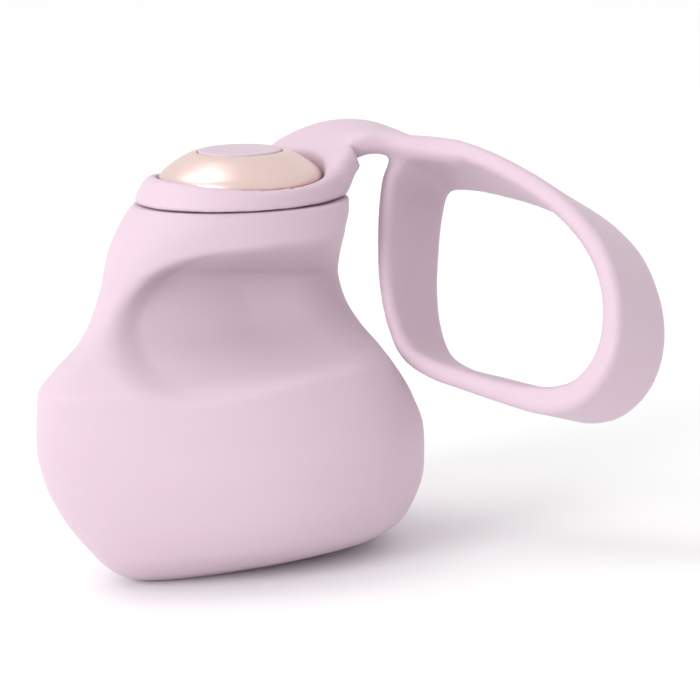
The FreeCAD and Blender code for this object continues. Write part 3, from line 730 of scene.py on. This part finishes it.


# the silicone's base colour carries painted shade, up to 40 % darker in creases and hollows
silicone = material(
    "lilac_silicone", srgb(208, 186, 199), 0.52, vary=0.012, scale=180, bump=0.10, bump_scale=4200,
    rough_vary=0.04, painted_shade=0.4,
    sockets=(("Subsurface Weight", 0.25), ("Subsurface Radius", (1.0, 0.55, 0.7)),
             ("Subsurface Scale", 0.0018), ("Specular IOR Level", 0.35),
             ("Sheen Weight", 0.04), ("Sheen Roughness", 0.45)))
gold = material(
    "rose_gold_plate", srgb(233, 206, 199), 0.33, metallic=0.75, vary=0.02, scale=260, bump=0.03,
    bump_scale=5000, rough_vary=0.03, sockets=(("Coat Weight", 0.3), ("Coat Roughness", 0.3)))
finishes = {
    "silicone": silicone,
    "rose_gold": gold,
    "button": material("lilac_button", srgb(206, 184, 197), 0.42, vary=0.012, scale=300, bump=0.08,
                       bump_scale=6000, sockets=(("Subsurface Weight", 0.1), ("Subsurface Scale", 0.001))),
    "core": material("white_moulding", srgb(226, 226, 222), 0.45, vary=0.03, bump=0.06, bump_scale=2500),
    "board": material("green_solder_mask", srgb(28, 96, 58), 0.35, vary=0.15, scale=900, bump=0.12,
                      bump_scale=1800),
    "chip": material("black_moulding", srgb(26, 26, 28), 0.5, vary=0.2, scale=1500, bump=0.15,
                     bump_scale=7000),
    "steel": material("brushed_steel", srgb(190, 190, 194), 0.32, metallic=1.0, vary=0.08, scale=900,
                      bump=0.2, bump_scale=2600, stretch=(1, 0.08, 1)),
    "weight": material("sintered_brass", srgb(196, 172, 118), 0.42, metallic=1.0, vary=0.12, scale=1800,
                       bump=0.3, bump_scale=5000),
    "cell": material("foil_pouch", srgb(196, 198, 204), 0.3, metallic=0.9, vary=0.05, scale=600, bump=0.35,
                     bump_scale=900),
    "foam": material("closed_foam", srgb(44, 44, 46), 0.95, vary=0.3, scale=2400, bump=0.8,
                     bump_scale=3500),
    "led": material("clear_lens", srgb(244, 242, 228), 0.15, vary=0.03, bump=0.02),
    "red_wire": material("red_insulation", srgb(186, 30, 26), 0.4, vary=0.06, bump=0.05),
    "black_wire": material("black_insulation", srgb(22, 22, 22), 0.4, vary=0.1, bump=0.05)}


def paint(obj, finish):
    """Gives obj this one finish."""
    obj.data.materials.clear()
    obj.data.materials.append(finish)


for part in frame["record"]["subparts"]:
    node = frame["nodes"][part["node"]]
    finish = finishes[part["material_slot"]]
    if not node.material_slots:
        node.data.materials.append(finish)
    for s in node.material_slots:
        s.material = finish

paint(body, silicone)
paint(tether, silicone)
paint(bezel, gold)
paint(button, finishes["button"])

# ------------------------------------------------------------------ riding
# direction across the hinge, from a point before it to a point after it on the way to the loop
BEND = np.array((0.623, 0.557, -0.550))
BEND = BEND / np.linalg.norm(BEND)
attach(body, "core")
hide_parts("silicone_body")
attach(bezel, "core")
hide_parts("bezel_ring")
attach(button, "button")
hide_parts("button_cap")
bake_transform(tether)
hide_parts("tether_collar", "finger_loop")

# ------------------------------------------------------------------ floor, light and camera
FLOOR_HALF = 3
FLOOR_DROP = 0.00002     # metres below the base, so that the two faces do not share a plane
floor_mesh = bpy.data.meshes.new("floor")
corners = [(x * FLOOR_HALF, y * FLOOR_HALF, 0) for x, y in ((-1, -1), (1, -1), (1, 1), (-1, 1))]
floor_mesh.from_pydata(corners, [], [(0, 1, 2, 3)])
floor = bpy.data.objects.new("floor", floor_mesh)
bpy.context.scene.collection.objects.link(floor)
floor.location.z = -FLOOR_DROP
paint(floor, material("pale_floor", (0.93, 0.93, 0.93, 1), 0.8, vary=0.002, scale=6, bump=0.0))
floor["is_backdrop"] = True

world = bpy.data.worlds.new("studio")
world.use_nodes = True
world.node_tree.nodes["Background"].inputs["Color"].default_value = (1, 1, 1, 1)
world.node_tree.nodes["Background"].inputs["Strength"].default_value = 0.87
bpy.context.scene.world = world
bpy.context.scene.view_settings.view_transform = "Standard"

low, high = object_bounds()
middle = (low + high) / 2


def area_light(name, offset, size, power):
    """Round white light at an offset from the object's middle, facing it."""
    data = bpy.data.lights.new(name, "AREA")
    data.shape = "DISK"
    data.size, data.energy = size, power
    lamp = bpy.data.objects.new(name, data)
    lamp.location = middle + Vector(offset)
    lamp.rotation_mode = "QUATERNION"
    lamp.rotation_quaternion = (-Vector(offset)).to_track_quat("-Z", "Y")
    bpy.context.scene.collection.objects.link(lamp)


area_light("key", (0.12, -0.67, 0.28), 0.42, 2.5)
area_light("top", (-0.25, -0.20, 0.62), 0.45, 1.1)

AZIMUTH, ELEVATION, ROLL = math.radians(60.0), math.radians(13.0), math.radians(5.3)
DISTANCE = 0.420
AIM = Vector((0.0047, 0.00814, 0.0197))
back = Vector((math.sin(AZIMUTH) * math.cos(ELEVATION), -math.cos(AZIMUTH) * math.cos(ELEVATION),
               math.sin(ELEVATION)))
side = Vector((math.cos(AZIMUTH), math.sin(AZIMUTH), 0))
upward = back.cross(side)
camera_x = side * math.cos(ROLL) - upward * math.sin(ROLL)
camera_y = side * math.sin(ROLL) + upward * math.cos(ROLL)
camera_data = bpy.data.cameras.new("camera")
camera_data.lens = 216.0
camera_data.sensor_width = 36.0
camera = bpy.data.objects.new("camera", camera_data)
turn = Matrix((camera_x, camera_y, back)).transposed()
camera.matrix_world = Matrix.Translation(AIM + back * DISTANCE) @ turn.to_4x4()
camera_data.clip_start, camera_data.clip_end = 0.02, 20
bpy.context.scene.collection.objects.link(camera)
bpy.context.scene.camera = camera

low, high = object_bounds()
